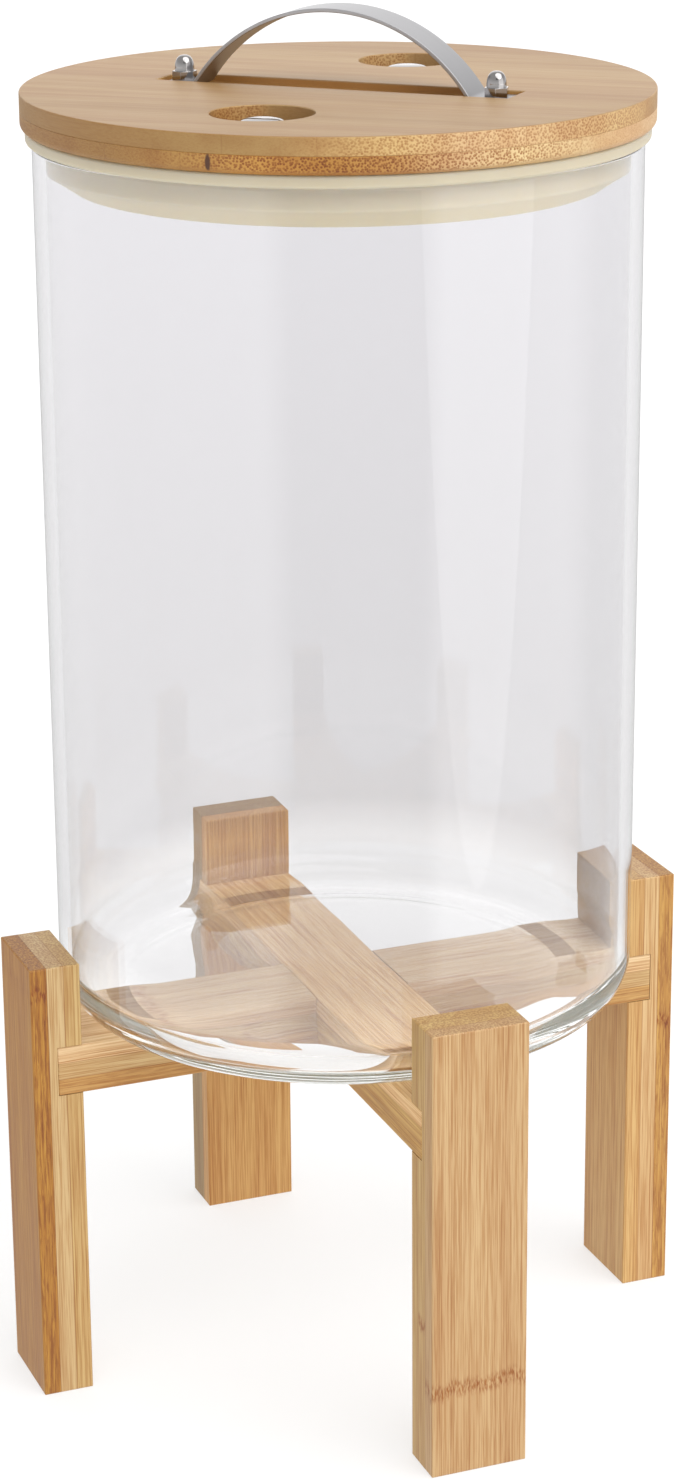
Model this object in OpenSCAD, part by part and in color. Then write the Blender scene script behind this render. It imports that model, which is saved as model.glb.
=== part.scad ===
// Laundry detergent jar: a straight glass cylinder in a notched bamboo stand, closed by a
// two-ply bamboo lid on a silicone seal and lifted by an arched steel strap.
// Units are millimetres, +Z is up, and the origin is on the floor under the jar's axis.

/* [Jar] */
// Outside diameter of the glass
jar_d = 193; // [160:1:220]
// Height of the glass from its base to its rim
jar_h = 288.5; // [200:0.5:360]
// Thickness of the glass wall
jar_wall = 4; // [3:0.5:6]
// Thickness of the glass base
jar_base = 7; // [5:0.5:12]
// Radius of the outer corner between the wall and the base
jar_corner_r = 15; // [10:1:22]
// Radius that softens both edges of the rim
jar_rim_r = 1.2; // [0.5:0.1:1.4]
// Depth of the shallow recess pressed into the underside
punt_depth = 1.2; // [0.6:0.1:3]
// Width of the flat ring that the jar stands on, inside its rounded corner
punt_ring_w = 8; // [5:1:16]
// Width of the slope between that ring and the recess
punt_slope_w = 10; // [4:1:16]

/* [Stand] */
// Width of the bamboo bars that the legs and beams are cut from
bar_w = 33; // [24:1:40]
// Thickness of the bars
bar_t = 17; // [12:1:22]
// Radius that eases the edges of each bar
bar_ease_r = 0.6; // [0.3:0.1:1.5]
// Height of the legs
leg_h = 154; // [110:1:220]
// How far the legs stand above the beams, to hold the jar
leg_rise = 28.5; // [15:0.5:45]
// How deep each beam's end is let into its leg
housing_depth = 8.5; // [6:0.5:9.5]
// Glue gap over a beam's end and at the sides of the crossing
glue_gap = 0.1; // [0.05:0.05:0.3]
// Gap between the glass and each leg
jar_play = 2.4; // [0.5:0.1:5]
// Diameter of the dowel hidden in each leg joint
dowel_d = 8; // [6:1:8]
// Length of each dowel
dowel_l = 30; // [20:1:36]
// How deep each dowel is let into its leg, past the housing
dowel_in_leg = 5; // [3:0.5:6]
// Gap at each end of a dowel
dowel_end_gap = 0.3; // [0.2:0.1:1]
// Glue gap round each dowel
dowel_gap = 0.05; // [0.03:0.01:0.15]

/* [Lid] */
// Diameter of the bamboo lid
lid_d = 200; // [170:1:230]
// Thickness of each of the lid's two plies
ply_t = 5.8; // [4.5:0.1:9]
// Radius of the lid's rounded lower edge
lid_edge_r = 2.2; // [1:0.1:3.5]
// Radius that eases the lid's upper edge and the mouths of its wells
lid_top_ease_r = 0.5; // [0.2:0.1:1]
// How far the lid is turned from the stand, seen from above
lid_turn = -44; // [-180:1:180]
// Diameter of the two round wells
well_d = 32; // [22:1:36]
// Distance from the lid's axis to the centre of each well
well_r = 59; // [50:1:62]

/* [Seal] */
// Thickness of the flange between the lid and the rim
flange_t = 4; // [2.5:0.1:6]
// How far the flange stands proud of the glass
flange_proud = 2; // [0.5:0.1:4]
// Radius of the flange's rounded outer edge
flange_edge_r = 1.1; // [0.4:0.1:1.2]
// Gap between the plug and the inside of the glass
seal_gap = 0.3; // [0.2:0.1:1]
// Height of the plug's upright wall
plug_wall_h = 7.5; // [4:0.5:14]
// Height of the tapered end below that wall
plug_taper_h = 6; // [3:0.5:10]
// How far the tapered end draws in
plug_taper_in = 8; // [3:0.5:9]
// Width of the plug's blunt lower edge
plug_lip_w = 3; // [2:0.5:5]
// Thickness of the plug's wall at the flange
plug_root_w = 11; // [10:0.5:13]

/* [Handle] */
// Width of the steel strap
strap_w = 15; // [12:0.5:24]
// Thickness of the strap
strap_t = 1.2; // [0.8:0.1:2]
// Height of the arch above the lid's top
arch_rise = 24.6; // [18:0.1:34]
// Width of the arch where it meets the lid's top
arch_span = 93; // [76:1:100]
// Inner radius of the bend between the arch and each foot
bend_r = 2.5; // [1.5:0.1:4]
// Length of each foot beyond its screw
foot_tail = 5; // [4:0.5:8]
// Depth of the groove that the feet lie in
groove_depth = 2.4; // [1.8:0.1:4]
// Gap at each side of the strap in the groove
groove_side_gap = 0.5; // [0.3:0.1:1.5]
// Gap at each end of the feet in the groove
groove_end_gap = 1.5; // [0.5:0.1:3]

/* [Fasteners] */
// Diameter of the two screws that hold the handle
screw_d = 4; // [3:0.5:5]
// Gap round each screw where it passes through
screw_gap = 0.2; // [0.1:0.05:0.5]
// Gap round each screw in its nut's thread
thread_gap = 0.05; // [0.02:0.01:0.1]
// Gap between the screw's end and the top of the nut's hole
screw_end_gap = 0.5; // [0.3:0.1:1]
// Diameter of the screw heads
screw_head_d = 8; // [7:0.5:10]
// Height of the screw heads
screw_head_h = 2.6; // [2:0.1:3.5]
// Width of the slots in each screw's cross recess
recess_w = 1; // [0.6:0.1:1.4]
// Depth of the cross recess
recess_depth = 1.4; // [0.8:0.1:1.8]
// Diameter of the washers
washer_d = 12; // [10.5:0.5:16]
// Thickness of the washers
washer_t = 1; // [0.6:0.1:2]
// Width of each cap nut across its flats
nut_af = 7; // [6.5:0.5:8]
// Height of each cap nut's hexagon
nut_hex_h = 3.6; // [2.5:0.1:5]
// Diameter of each cap nut's dome
nut_dome_d = 6.2; // [6:0.1:6.4]
// Whole height of each cap nut
nut_h = 8.2; // [7.5:0.1:11]
// Steel left above the nut's blind hole
nut_crown_t = 1.4; // [0.8:0.1:2]
// Gap between each nut and the bend of the strap
nut_bend_gap = 0.3; // [0.2:0.1:3]

/* [Studs] */
// Diameter of the polished stud in each well
stud_d = 15; // [10:0.5:18]
// How far the top of each stud stays below the lid's top
stud_drop = 1.4; // [0.8:0.1:4]
// Height of each stud's domed crown
stud_crown_h = 3; // [1.5:0.1:4.5]
// Diameter of the shank that holds each stud to the seal
stud_shank_d = 5; // [4:0.5:8]
// Gap round that shank
stud_shank_gap = 0.2; // [0.1:0.05:0.5]
// Diameter of the shank's spread end
stud_tail_d = 10; // [9:0.5:14]
// Thickness of the spread end
stud_tail_t = 1.5; // [1:0.1:3]

/* [Hidden] */
$fn = 96;
CUT = 1;
TWO_SIDES = 2;
JOIN = 0.05;

jar_r = jar_d / 2;
jar_inner_r = jar_r - jar_wall;
jar_inner_corner_r = jar_corner_r - jar_wall;

beam_z = leg_h - leg_rise - bar_t;
jar_z = beam_z + bar_t;
leg_inner_r = jar_r + jar_play;
beam_reach = leg_inner_r + housing_depth;
lap_w = bar_w + TWO_SIDES * glue_gap;
dowel_outer_r = beam_reach + dowel_in_leg - dowel_end_gap;
dowel_inner_r = dowel_outer_r - dowel_l;
dowel_z = beam_z + bar_t / 2;
dowel_hole_d = dowel_d + TWO_SIDES * dowel_gap;

rim_z = jar_z + jar_h;
seal_top_z = rim_z + flange_t;
seam_z = seal_top_z + ply_t;
lid_top_z = seam_z + ply_t;
plug_r = jar_inner_r - seal_gap;
plug_tip_r = plug_r - plug_taper_in;
plug_h = plug_wall_h + plug_taper_h;

groove_z = lid_top_z - groove_depth;
foot_top_z = groove_z + strap_t;
arch_r = (pow(arch_span / 2, 2) + pow(arch_rise, 2)) / (2 * arch_rise);
arch_z = lid_top_z + arch_rise - arch_r;
bend_z = foot_top_z + bend_r;
bend_x = sqrt(pow(arch_r + bend_r, 2) - pow(bend_z - arch_z, 2));
bend_angle = atan2(bend_z - arch_z, bend_x);
arch_end_angle = bend_angle - atan(JOIN / arch_r);
nut_corner_r = nut_af / sqrt(3);
screw_x = bend_x + nut_corner_r + nut_bend_gap;
foot_end_x = screw_x + foot_tail;
groove_half_l = foot_end_x + groove_end_gap;
groove_w = strap_w + TWO_SIDES * groove_side_gap;
screw_hole_d = screw_d + TWO_SIDES * screw_gap;

washer_z = rim_z - washer_t;
screw_tip_z = foot_top_z + nut_h - nut_crown_t - screw_end_gap;
stud_top_z = lid_top_z - stud_drop;
stud_hole_d = stud_shank_d + TWO_SIDES * stud_shank_gap;

bamboo = "burlywood";
bamboo_end = "tan";
steel = "silver";
silicone = "cornsilk";

// A rectangle from the origin with its corners rounded
module rounded_rect(w, h, r) {
    translate([r, 0]) square([w - 2 * r, h]);
    translate([0, r]) square([w, h - 2 * r]);
    for (x = [r, w - r], y = [r, h - r]) translate([x, y]) circle(r = r);
}

// Half the outline of a round body, from its axis out to r, with its outer corners rounded
module disc_profile(r, h, low_r, high_r) {
    translate([0, low_r]) square([r, h - low_r - high_r]);
    square([r - low_r, h]);
    translate([0, h / 2]) square([r - high_r, h / 2]);
    translate([r - low_r, low_r]) circle(r = low_r);
    translate([r - high_r, h - high_r]) circle(r = high_r);
}

// A bar from the origin with all its edges eased
module eased_bar(x, y, z) {
    intersection() {
        linear_extrude(z) rounded_rect(x, y, bar_ease_r);
        translate([0, y, 0]) rotate([90, 0, 0]) linear_extrude(y) rounded_rect(x, z, bar_ease_r);
        rotate([90, 0, 90]) linear_extrude(x) rounded_rect(y, z, bar_ease_r);
    }
}

// The children moved to one side of the stand: 0 right, 90 back, 180 left, 270 front
module on_side(turn) {
    rotate([0, 0, turn]) children();
}

// The children turned with the lid, whose groove then lies along X
module on_lid() {
    rotate([0, 0, lid_turn]) children();
}

// The upright bar of glass between the base and the rim, softened at its two top edges
module wall_profile() {
    translate([jar_inner_r, jar_corner_r]) square([jar_wall, jar_h - jar_corner_r - jar_rim_r]);
    translate([jar_inner_r + jar_rim_r, jar_h / 2]) square([jar_wall - 2 * jar_rim_r, jar_h / 2]);
    for (x = [jar_inner_r + jar_rim_r, jar_r - jar_rim_r])
        translate([x, jar_h - jar_rim_r]) circle(r = jar_rim_r);
}

// The base and its corner, up to the height where the wall takes over
module base_profile() {
    ring_r = jar_r - jar_corner_r;
    recess_r = ring_r - punt_ring_w;
    difference() {
        union() {
            square([ring_r, jar_corner_r]);
            intersection() {
                translate([ring_r, jar_corner_r]) circle(r = jar_corner_r);
                square([jar_r, jar_corner_r]);
            }
        }
        translate([0, jar_base]) square([jar_inner_r - jar_inner_corner_r, jar_corner_r]);
        translate([0, jar_base + jar_inner_corner_r]) square([jar_inner_r, jar_corner_r]);
        translate([jar_inner_r - jar_inner_corner_r, jar_base + jar_inner_corner_r])
            circle(r = jar_inner_corner_r);
        polygon([[0, -CUT], [recess_r, -CUT], [recess_r, 0], [recess_r - punt_slope_w, punt_depth],
            [0, punt_depth]]);
    }
}

// The fillet inside the jar, between the base and the upright wall
module inner_corner_profile() {
    centre = [jar_inner_r - jar_inner_corner_r, jar_base + jar_inner_corner_r];
    difference() {
        translate([centre[0], jar_corner_r]) square([jar_inner_corner_r, centre[1] - jar_corner_r]);
        translate(centre) circle(r = jar_inner_corner_r);
    }
}

module glass_jar() {
    color("lightcyan", 0.35) translate([0, 0, jar_z]) rotate_extrude() {
        wall_profile();
        base_profile();
        inner_corner_profile();
    }
}

// One leg: the housing for the beam's end is cut right across its inner face
module leg(turn) {
    color(bamboo) on_side(turn) difference() {
        translate([leg_inner_r, -bar_w / 2, 0]) eased_bar(bar_t, bar_w, leg_h);
        translate([leg_inner_r - CUT, -bar_w / 2 - CUT, beam_z])
            cube([housing_depth + CUT, bar_w + 2 * CUT, bar_t + glue_gap]);
        translate([beam_reach - CUT, 0, dowel_z]) rotate([0, 90, 0])
            cylinder(d = dowel_hole_d, h = dowel_in_leg + CUT);
    }
}

// One beam along X: half its thickness is cut away at the crossing, from above or from below
module beam(notch_above) {
    difference() {
        translate([-beam_reach, -bar_w / 2, beam_z]) eased_bar(2 * beam_reach, bar_w, bar_t);
        translate([-lap_w / 2, -bar_w, notch_above ? beam_z + bar_t / 2 : beam_z - bar_t / 2])
            cube([lap_w, 2 * bar_w, bar_t]);
        for (side = [0, 180]) rotate([0, 0, side])
            translate([dowel_inner_r - dowel_end_gap, 0, dowel_z]) rotate([0, 90, 0])
                cylinder(d = dowel_hole_d, h = beam_reach);
    }
}

module beam_left_right() {
    color(bamboo_end) beam(true);
}

module beam_front_back() {
    color(bamboo) on_side(90) beam(false);
}

module dowel(turn) {
    color(bamboo_end) on_side(turn) translate([dowel_inner_r, 0, dowel_z]) rotate([0, 90, 0])
        cylinder(d = dowel_d, h = dowel_l);
}

// What both plies are drilled with: the two wells and the two screw holes
module lid_holes() {
    on_lid() translate([0, 0, seal_top_z - CUT]) {
        for (side = [-1, 1]) {
            translate([0, side * well_r, 0]) cylinder(d = well_d, h = 2 * ply_t + 2 * CUT);
            translate([side * screw_x, 0, 0]) cylinder(d = screw_hole_d, h = 2 * ply_t + 2 * CUT);
        }
    }
}

// The flared mouth that eases the top edge of a well
module well_mouth() {
    translate([0, 0, lid_top_z - lid_top_ease_r])
        cylinder(d1 = well_d, d2 = well_d + 2 * (lid_top_ease_r + CUT), h = lid_top_ease_r + CUT);
}

module lid_upper_ply() {
    color(bamboo) difference() {
        translate([0, 0, seam_z]) rotate_extrude() {
            square([lid_d / 2 - lid_top_ease_r, ply_t]);
            square([lid_d / 2, ply_t - lid_top_ease_r]);
            translate([lid_d / 2 - lid_top_ease_r, ply_t - lid_top_ease_r]) circle(r = lid_top_ease_r);
        }
        lid_holes();
        on_lid() {
            translate([-groove_half_l, -groove_w / 2, groove_z])
                cube([2 * groove_half_l, groove_w, groove_depth + CUT]);
            for (side = [-1, 1]) translate([0, side * well_r, 0]) well_mouth();
        }
    }
}

module lid_lower_ply() {
    color(bamboo_end) difference() {
        translate([0, 0, seal_top_z]) rotate_extrude() {
            square([lid_d / 2 - lid_edge_r, ply_t]);
            translate([0, lid_edge_r]) square([lid_d / 2, ply_t - lid_edge_r]);
            translate([lid_d / 2 - lid_edge_r, lid_edge_r]) circle(r = lid_edge_r);
        }
        lid_holes();
    }
}

// The seal: a flange that covers the rim, and a hollow plug that tapers to its lower edge
module silicone_seal() {
    color(silicone) difference() {
        translate([0, 0, rim_z]) rotate_extrude() {
            disc_profile(jar_r + flange_proud, flange_t, flange_edge_r, flange_edge_r);
            polygon([[plug_r - plug_root_w, flange_t / 2], [plug_r - plug_root_w, 0],
                [plug_tip_r - plug_lip_w, -plug_h], [plug_tip_r, -plug_h], [plug_r, -plug_wall_h],
                [plug_r, flange_t / 2]]);
        }
        on_lid() translate([0, 0, rim_z - CUT]) for (side = [-1, 1]) {
            translate([side * screw_x, 0, 0]) cylinder(d = screw_hole_d, h = flange_t + 2 * CUT);
            translate([0, side * well_r, 0]) cylinder(d = stud_hole_d, h = flange_t + 2 * CUT);
        }
    }
}

// A wedge from the origin between two angles, long enough to cut a ring of any size here
module wedge(from, to) {
    reach = 3 * arch_r;
    middle = (from + to) / 2;
    polygon([[0, 0], reach * [cos(from), sin(from)], reach * [cos(middle), sin(middle)],
        reach * [cos(to), sin(to)]]);
}

// Part of a ring between two angles
module ring_part(outer_r, inner_r, from, to) {
    intersection() {
        difference() {
            circle(r = outer_r);
            circle(r = inner_r);
        }
        wedge(from, to);
    }
}

// The strap's side view: the arch, then on each side a bend and a flat foot
module strap_profile() {
    translate([0, arch_z]) ring_part(arch_r, arch_r - strap_t, arch_end_angle, 180 - arch_end_angle);
    for (side = [0, 1]) mirror([side, 0]) {
        translate([bend_x, bend_z]) ring_part(bend_r + strap_t, bend_r, 180 + bend_angle, 270);
        translate([bend_x - JOIN, groove_z]) square([foot_end_x - bend_x + JOIN, strap_t]);
    }
}

module handle_strap() {
    color(steel) on_lid() difference() {
        translate([0, strap_w / 2, 0]) rotate([90, 0, 0]) linear_extrude(strap_w, $fn = 180)
            strap_profile($fn = 180);
        for (side = [-1, 1]) translate([side * screw_x, 0, groove_z - CUT])
            cylinder(d = screw_hole_d, h = strap_t + 2 * CUT);
    }
}

// A cap nut: a chamfered hexagon under a dome, with a blind threaded hole
module cap_nut(side) {
    color(steel) on_lid() translate([side * screw_x, 0, foot_top_z]) difference() {
        union() {
            intersection() {
                cylinder(r = nut_corner_r, h = nut_hex_h, $fn = 6);
                cylinder(r1 = nut_af / 2 + nut_hex_h, r2 = nut_af / 2, h = nut_hex_h);
            }
            cylinder(d = nut_dome_d, h = nut_h - nut_dome_d / 2);
            translate([0, 0, nut_h - nut_dome_d / 2]) sphere(d = nut_dome_d);
        }
        translate([0, 0, -CUT])
            cylinder(d = screw_d + TWO_SIDES * thread_gap, h = nut_h - nut_crown_t + CUT);
    }
}

// A pan-head screw, driven up from under the seal
module handle_screw(side) {
    head_z = washer_z - screw_head_h;
    color(steel) on_lid() translate([side * screw_x, 0, 0]) difference() {
        union() {
            translate([0, 0, head_z]) cylinder(d1 = screw_head_d - screw_head_h, d2 = screw_head_d,
                h = screw_head_h);
            translate([0, 0, washer_z - CUT]) cylinder(d = screw_d, h = screw_tip_z - washer_z + CUT);
        }
        for (turn = [0, 90]) rotate([0, 0, turn])
            translate([-screw_d / 2, -recess_w / 2, head_z - CUT])
                cube([screw_d, recess_w, recess_depth + CUT]);
    }
}

module washer(side) {
    color(steel) on_lid() translate([side * screw_x, 0, washer_z]) difference() {
        cylinder(d = washer_d, h = washer_t);
        translate([0, 0, -CUT]) cylinder(d = screw_hole_d, h = washer_t + 2 * CUT);
    }
}

// A polished stud on the floor of a well: a domed head, and a shank spread under the seal
module well_stud(side) {
    head_h = stud_top_z - seal_top_z;
    crown_r = (pow(stud_d / 2, 2) + pow(stud_crown_h, 2)) / (2 * stud_crown_h);
    color(steel) on_lid() translate([0, side * well_r, seal_top_z]) {
        intersection() {
            cylinder(d = stud_d, h = head_h);
            translate([0, 0, head_h - crown_r]) sphere(r = crown_r);
        }
        translate([0, 0, -flange_t - stud_tail_t]) cylinder(d = stud_tail_d, h = stud_tail_t);
        translate([0, 0, -flange_t - stud_tail_t]) cylinder(d = stud_shank_d, h = flange_t + 2 * stud_tail_t);
    }
}

glass_jar();
leg(180);  // leg_left
leg(0);  // leg_right
leg(270);  // leg_front
leg(90);  // leg_back
beam_left_right();
beam_front_back();
dowel(180);  // dowel_left
dowel(0);  // dowel_right
dowel(270);  // dowel_front
dowel(90);  // dowel_back
lid_upper_ply();
lid_lower_ply();
silicone_seal();
handle_strap();
cap_nut(-1);  // cap_nut_left
cap_nut(1);  // cap_nut_right
handle_screw(-1);  // handle_screw_left
handle_screw(1);  // handle_screw_right
washer(-1);  // washer_left
washer(1);  // washer_right
well_stud(-1);  // well_stud_front
well_stud(1);  // well_stud_back
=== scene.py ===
"""Laundry detergent jar: a glass cylinder in a bamboo stand, closed by a bamboo lid on a silicone seal."""
import math

import bpy
from mathutils import Matrix, Vector


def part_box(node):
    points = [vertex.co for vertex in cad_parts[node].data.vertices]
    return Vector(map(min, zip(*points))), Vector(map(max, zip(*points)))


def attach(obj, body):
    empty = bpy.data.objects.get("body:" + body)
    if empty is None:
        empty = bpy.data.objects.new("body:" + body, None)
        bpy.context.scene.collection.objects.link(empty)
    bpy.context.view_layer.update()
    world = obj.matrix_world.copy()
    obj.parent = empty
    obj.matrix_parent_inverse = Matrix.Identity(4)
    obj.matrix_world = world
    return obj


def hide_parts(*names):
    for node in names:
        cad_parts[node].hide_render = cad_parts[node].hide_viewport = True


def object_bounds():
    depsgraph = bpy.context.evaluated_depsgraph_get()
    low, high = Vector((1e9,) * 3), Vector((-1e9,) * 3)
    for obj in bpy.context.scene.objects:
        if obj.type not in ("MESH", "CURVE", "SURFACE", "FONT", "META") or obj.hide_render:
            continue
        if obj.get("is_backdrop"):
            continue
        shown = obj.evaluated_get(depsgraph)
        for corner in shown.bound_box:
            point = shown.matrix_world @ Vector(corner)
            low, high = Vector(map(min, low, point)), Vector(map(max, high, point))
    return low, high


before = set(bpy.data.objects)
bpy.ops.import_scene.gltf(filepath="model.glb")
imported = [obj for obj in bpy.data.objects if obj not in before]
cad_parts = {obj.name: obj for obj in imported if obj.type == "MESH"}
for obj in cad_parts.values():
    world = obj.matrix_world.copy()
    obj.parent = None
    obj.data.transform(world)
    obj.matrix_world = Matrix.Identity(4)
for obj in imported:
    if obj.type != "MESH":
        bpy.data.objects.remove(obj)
cad_low, cad_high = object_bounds()


# ---------------------------------------------------------------------------------------------
# The camera. A long lens stands 1.2 m back and a little above, 21 degrees to the left of the
# front, so that the front and left faces of the stand both show.

MM = 0.001                   # in metres, the unit of every place and size below unless it says mm
CAMERA_PLACE = Vector((-416.97, -1068.63, 599.5)) * MM
CAMERA_TURN = math.radians(-21.255)
CAMERA_TILT = math.radians(90 - 18.642)
CAMERA_ROLL = math.radians(-0.469)
LENS = 88.41                 # mm
SENSOR = 36                  # mm

bpy.ops.object.camera_add()
camera = bpy.context.object
camera.name = "camera"
camera.matrix_world = (Matrix.Translation(CAMERA_PLACE) @ Matrix.Rotation(CAMERA_TURN, 4, "Z")
                       @ Matrix.Rotation(CAMERA_TILT, 4, "X") @ Matrix.Rotation(CAMERA_ROLL, 4, "Z"))
camera.data.sensor_width = SENSOR
camera.data.lens = LENS
bpy.context.scene.camera = camera


# ---------------------------------------------------------------------------------------------
# The studio. A floor of white acrylic, lit from below, in a white room. Soft boxes stand round it
# with a dark slot between them, over a wide key light high in front and a low fill.

def linear(colour):
    """The linear colour, with alpha, of an sRGB hex value."""
    parts = [int(colour[i:i + 2], 16) / 255 for i in (1, 3, 5)]
    return (*(p / 12.92 if p <= 0.04045 else ((p + 0.055) / 1.055) ** 2.4 for p in parts), 1)


def add_node(tree, kind, inputs=None, **settings):
    """Adds a shader node with its settings. An input is a value, or the output that feeds it."""
    node = tree.nodes.new("ShaderNode" + kind)
    for name, value in settings.items():
        setattr(node, name, value)
    for socket, value in (inputs or {}).items():
        if isinstance(value, bpy.types.NodeSocket):
            tree.links.new(value, node.inputs[socket])
        else:
            node.inputs[socket].default_value = value
    return node


def new_material(name, settings=None):
    """A material, its node tree, and its Principled shader, set to what is the same all over."""
    material = bpy.data.materials.new(name)
    material.use_nodes = True
    surface = material.node_tree.nodes["Principled BSDF"]
    for socket, value in (settings or {}).items():
        surface.inputs[socket].default_value = value
    return material, material.node_tree, surface


FLOOR_SIZE = 30              # metres
FLOOR_WHITE = "#9D9D9D"
FLOOR_GLOW = 0.63

# Opal acrylic, which glows and scatters what falls on it
acrylic = new_material("lit_opal_acrylic", {
    "Base Color": linear(FLOOR_WHITE), "Roughness": 0.9, "Emission Color": linear("#FFFFFF"),
    "Emission Strength": FLOOR_GLOW})[0]
bpy.ops.mesh.primitive_plane_add(size=FLOOR_SIZE, location=(0, 0, cad_low.z))
floor = bpy.context.object
floor.name = "floor"
floor.data.materials.append(acrylic)
floor.visible_glossy = False
floor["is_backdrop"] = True

# The room, by where a ray looks: white walls, a dimmer ceiling, and below the floor's edge the soft
# boxes again, so that glass and steel mirror them. Heights are sines of the angle above the floor.
WALL_LIGHT = 1.0
CEILING_LIGHT = 0.62
CEILING_FROM = 0.35
HORIZON = (-0.06, -0.01)
TABLE_LIGHT = 1.1            # the lit floor, which a ray that looks steeply down meets
TABLE_HEIGHTS = (-0.38, -0.55)
SOFT_BOXES = [(-180, 1.5), (-140, 1.6), (-129, 0.3), (-80, 0.3), (-72, 1.8), (-18, 1.6), (0, 0.7),
              (60, 0.55), (105, 0.55), (128, 1.1), (180, 1.5)]     # degrees round the jar, brightness
BRIGHTEST = 2.0
BACK_LIGHT = 0.7             # a soft box behind and above, whose sheen lies on every level surface
BACK_WAY = (0.34, 0.84, 0.42)
BACK_EDGE = (0.72, 0.94)     # cosines of the angle from its middle
SLOT_TURN = -109             # degrees round the jar, near where the camera stands
SLOT_HALF = 12               # degrees
SLOT_SOFT = 3                # degrees
SLOT_HEIGHTS = ((0.32, 0.40), (0.92, 0.84))
SLOT_DARK = 0.85
BOUNCES = 160                # the jar's base turns light round many times before it lets it out
world = bpy.data.worlds.new("white_room")
world.use_nodes = True
tree = world.node_tree
backdrop = tree.nodes["Background"]
way = add_node(tree, "TexCoord").outputs["Generated"]
x, y, z = add_node(tree, "SeparateXYZ", {0: way}).outputs
turn = add_node(tree, "Math", {0: y, 1: x}, operation="ARCTAN2").outputs[0]
turn = add_node(tree, "MapRange", {"Value": turn, "From Min": -math.pi, "From Max": math.pi}).outputs[0]
boxes = add_node(tree, "ValToRGB", {"Fac": turn})
boxes.color_ramp.elements.remove(boxes.color_ramp.elements[1])
for i, (angle, glow) in enumerate(SOFT_BOXES):
    share = (angle + 180) / 360
    element = boxes.color_ramp.elements[0] if i == 0 else boxes.color_ramp.elements.new(share)
    element.color = (glow / BRIGHTEST,) * 3 + (1,)
low_glow = add_node(tree, "Math", {0: boxes.outputs["Color"], 1: BRIGHTEST},
                    operation="MULTIPLY").outputs[0]
steep = add_node(tree, "MapRange", {"Value": z, "From Min": TABLE_HEIGHTS[0],
                 "From Max": TABLE_HEIGHTS[1]}).outputs[0]
low_glow = add_node(tree, "Mix", {0: steep, 2: low_glow, 3: TABLE_LIGHT}).outputs[0]
high_glow = add_node(tree, "MapRange", {"Value": z, "From Max": CEILING_FROM, "To Min": WALL_LIGHT,
                     "To Max": CEILING_LIGHT}).outputs[0]
above = add_node(tree, "MapRange", {"Value": z, "From Min": HORIZON[0], "From Max": HORIZON[1]}).outputs[0]
facing = add_node(tree, "VectorMath", {0: way, 1: BACK_WAY}, operation="DOT_PRODUCT").outputs["Value"]
behind = add_node(tree, "MapRange", {"Value": facing, "From Min": BACK_EDGE[0], "From Max": BACK_EDGE[1],
                  "To Max": BACK_LIGHT}, interpolation_type="SMOOTHSTEP").outputs[0]
high_glow = add_node(tree, "Math", {0: high_glow, 1: behind}, operation="ADD").outputs[0]
aside = add_node(tree, "Math", {0: turn, 1: (SLOT_TURN + 180) / 360}, operation="SUBTRACT").outputs[0]
aside = add_node(tree, "Math", {0: aside}, operation="ABSOLUTE").outputs[0]
slot = add_node(tree, "MapRange", {"Value": aside, "From Min": (SLOT_HALF + SLOT_SOFT) / 360,
                "From Max": (SLOT_HALF - SLOT_SOFT) / 360}).outputs[0]
for low_z, high_z in SLOT_HEIGHTS:
    part = add_node(tree, "MapRange", {"Value": z, "From Min": low_z, "From Max": high_z}).outputs[0]
    slot = add_node(tree, "Math", {0: slot, 1: part}, operation="MULTIPLY").outputs[0]
lit = add_node(tree, "MapRange", {"Value": slot, "To Min": 1, "To Max": 1 - SLOT_DARK}).outputs[0]
high_glow = add_node(tree, "Math", {0: high_glow, 1: lit}, operation="MULTIPLY").outputs[0]
glow = add_node(tree, "Mix", {0: above, 2: low_glow, 3: high_glow}).outputs[0]
backdrop.inputs["Color"].default_value = linear("#FFFFFF")
tree.links.new(glow, backdrop.inputs["Strength"])
bpy.context.scene.world = world
bpy.context.scene.view_settings.view_transform = "Standard"
bpy.context.scene.cycles.max_bounces = BOUNCES
bpy.context.scene.cycles.transmission_bounces = BOUNCES
bpy.context.scene.cycles.glossy_bounces = BOUNCES

# A wide key light high in front, and a low fill that reaches under the lid: degrees round the jar,
# upwards and of spread, and brightness
LAMPS = (("soft_key", -72, 58, 70, 0.74), ("low_fill", -58, 9, 60, 0.2))
for name, turn, height, spread, glow in LAMPS:
    lamp = bpy.data.lights.new(name, "SUN")
    lamp.energy = glow * math.pi
    lamp.angle = math.radians(spread)
    light = bpy.data.objects.new(name, lamp)
    bpy.context.collection.objects.link(light)
    from_way = Matrix.Rotation(math.radians(-height), 3, "Y") @ Vector((1, 0, 0))
    from_way = Matrix.Rotation(math.radians(turn), 3, "Z") @ from_way
    light.rotation_euler = from_way.to_track_quat("Z", "Y").to_euler()


# ---------------------------------------------------------------------------------------------
# The legs. Each is a length of bamboo board, pressed and glued from three strips that lie flat,
# sawn to 33 x 17 mm, sanded, and finished with a thin satin lacquer. Long bundles of fibre run
# up each strip, and a culm's knot crosses it here and there.

BUNDLE = 0.8                 # mm between bundles of fibre
STRIP_SHIFT = 37.3           # mm by which the pattern of each strip is moved on from the last one's
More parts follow.
